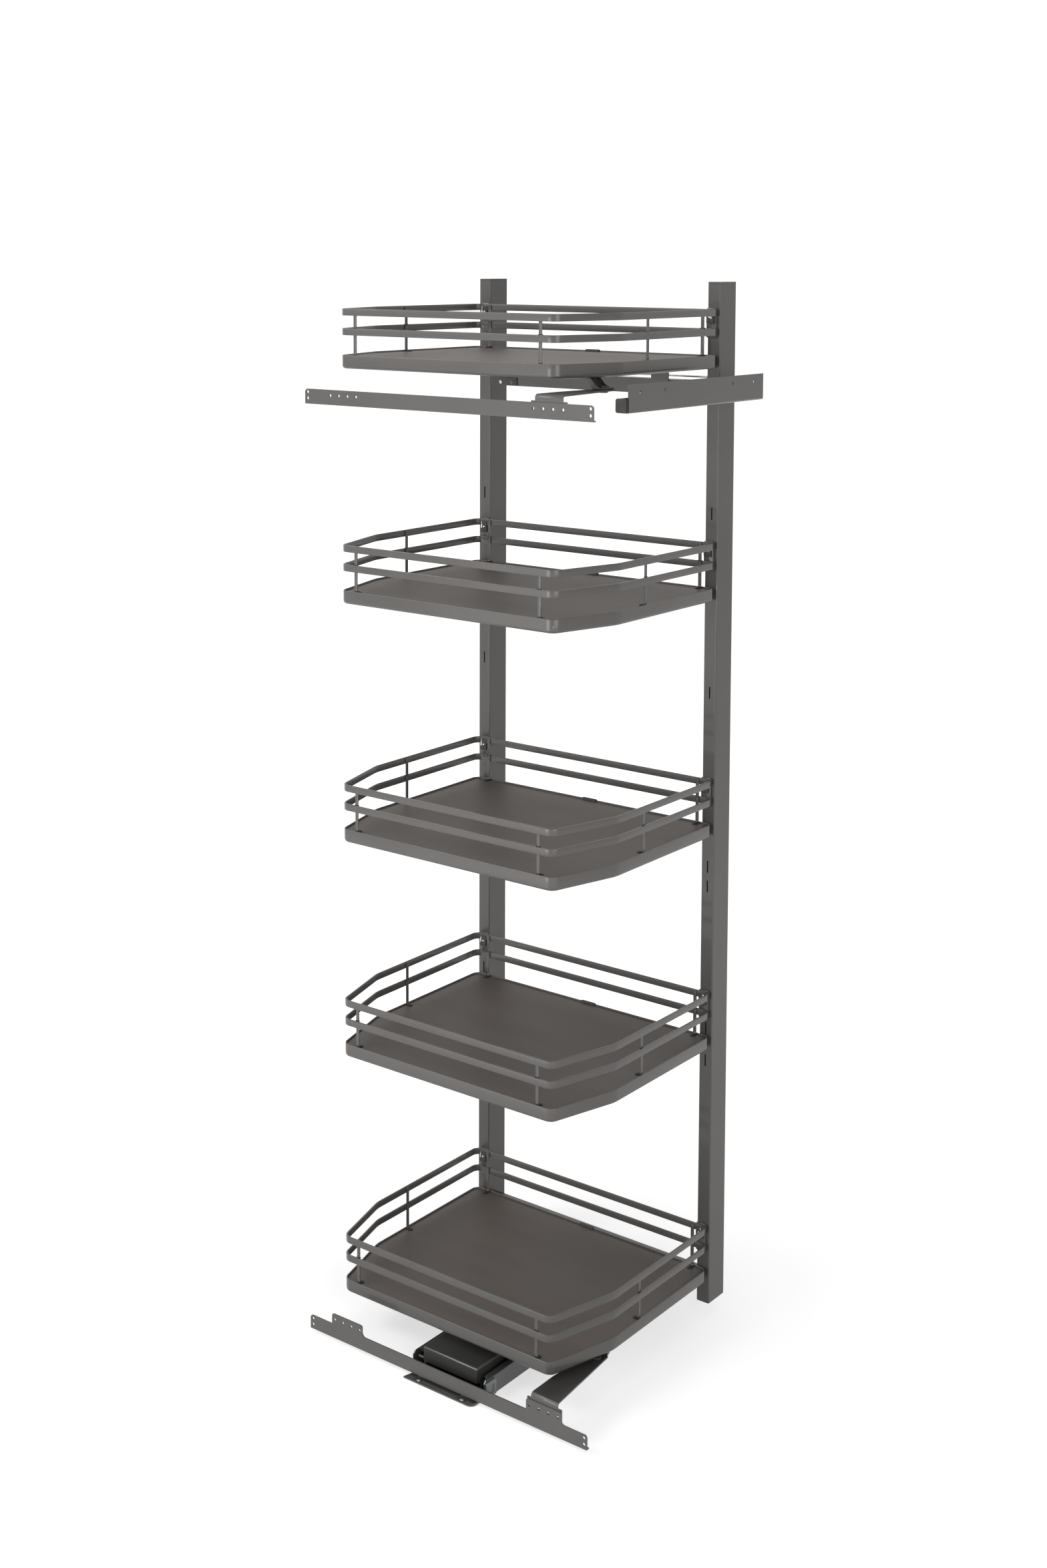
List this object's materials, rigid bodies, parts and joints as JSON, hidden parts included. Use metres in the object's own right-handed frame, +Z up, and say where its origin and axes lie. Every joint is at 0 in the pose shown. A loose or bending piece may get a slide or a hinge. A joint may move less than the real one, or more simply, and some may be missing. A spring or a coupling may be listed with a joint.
{
  "type": "swing-out pantry organizer",
  "caption": "Tall-cabinet fitting: a pull-out, swing-out post frame hung with railed trays, on a floor slide, with a wall rail and door brackets.",
  "frame": {"origin": "on the cabinet floor, midway between the two front fixing slots of the base", "axes": "+X to the right as seen from the room, +Y into the cabinet, +Z up"},
  "size_m": [0.563, 0.519, 1.734],
  "materials": {
    "dark_metal": "anthracite powder coat, satin",
    "black_metal": "black powder coat, satin",
    "panel": "coated board, fine matt grain",
    "zinc": "zinc plated",
    "grey_plastic": "moulded, matt",
    "black_plastic": "moulded, satin"
  },
  "bodies": {
    "base": {"floor_base": "black_metal", "base_clip": "grey_plastic", "outer_rails": "zinc", "side_rail": "dark_metal", "rail_end_cap": "black_plastic"},
    "middle_rails": {"middle_rails": "zinc", "ball_cages": "zinc"},
    "carriage": {"carriage_plate": "black_metal", "carriage_cover": "black_metal", "catch_pin": "zinc", "inner_rails": "zinc", "turntable_race": "zinc", "turntable_pin": "zinc"},
    "top_slider": {"slider_block": "zinc", "glide_shoes": "black_plastic", "guide_arm": "dark_metal"},
    "frame": {"left_post": "dark_metal", "right_post": "dark_metal", "post_caps": "black_plastic", "top_crossbar": "dark_metal", "bottom_crossbar": "dark_metal", "crossbar_feet": "dark_metal", "turntable_plate": "zinc", "guide_pin": "zinc", "top_pivot_bracket": "dark_metal", "bottom_pivot_bracket": "dark_metal", "door_arm_pins": "zinc", "hook_brackets": "dark_metal", "hook_screws": "zinc", "rim_clips": "dark_metal", "tray_pan_1": "dark_metal", "tray_panel_1": "panel", "top_rail_1": "dark_metal", "middle_rail_1": "dark_metal", "uprights_1": "dark_metal", "tray_pan_2": "dark_metal", "tray_panel_2": "panel", "top_rail_2": "dark_metal", "middle_rail_2": "dark_metal", "uprights_2": "dark_metal", "tray_pan_3": "dark_metal", "tray_panel_3": "panel", "top_rail_3": "dark_metal", "middle_rail_3": "dark_metal", "uprights_3": "dark_metal", "tray_pan_4": "dark_metal", "tray_panel_4": "panel", "top_rail_4": "dark_metal", "middle_rail_4": "dark_metal", "uprights_4": "dark_metal", "tray_pan_5": "dark_metal", "tray_panel_5": "panel", "top_rail_5": "dark_metal", "middle_rail_5": "dark_metal", "uprights_5": "dark_metal"},
    "top_door_arm": {"top_door_arm": "dark_metal", "top_door_strip": "dark_metal"},
    "bottom_door_arm": {"bottom_door_arm": "dark_metal", "bottom_door_strip": "dark_metal"}
  },
  "joints": [
    {"name": "pull_out", "type": "slide", "parent": "base", "child": "carriage", "axis": [0, -1, 0], "range_m": [0, 0.32]},
    {"name": "middle_rails_slide", "type": "slide", "parent": "base", "child": "middle_rails", "axis": [0, -1, 0], "range_m": [0, 0.165]},
    {"name": "top_slider_slide", "type": "slide", "parent": "base", "child": "top_slider", "axis": [0, -1, 0], "range_m": [0, 0.325]},
    {"name": "swing", "type": "hinge", "parent": "carriage", "child": "frame", "pos_m": [0, 0.457, 0.048], "axis": [0, 0, -1], "range_deg": [0, 55]},
    {"name": "top_door_arm_turn", "type": "hinge", "parent": "frame", "child": "top_door_arm", "pos_m": [0.198, 0.145, 1.575], "axis": [0, 0, 1], "range_deg": [0, 30]},
    {"name": "bottom_door_arm_turn", "type": "hinge", "parent": "frame", "child": "bottom_door_arm", "pos_m": [0.198, 0.145, 0.0575], "axis": [0, 0, 1], "range_deg": [0, 30]}
  ],
  "couplings": [
    {"joint": "middle_rails_slide", "follows": "pull_out", "ratio": 0.5},
    {"joint": "top_slider_slide", "follows": "pull_out", "ratio": 1},
    {"joint": "bottom_door_arm_turn", "follows": "top_door_arm_turn", "ratio": 1}
  ]
}
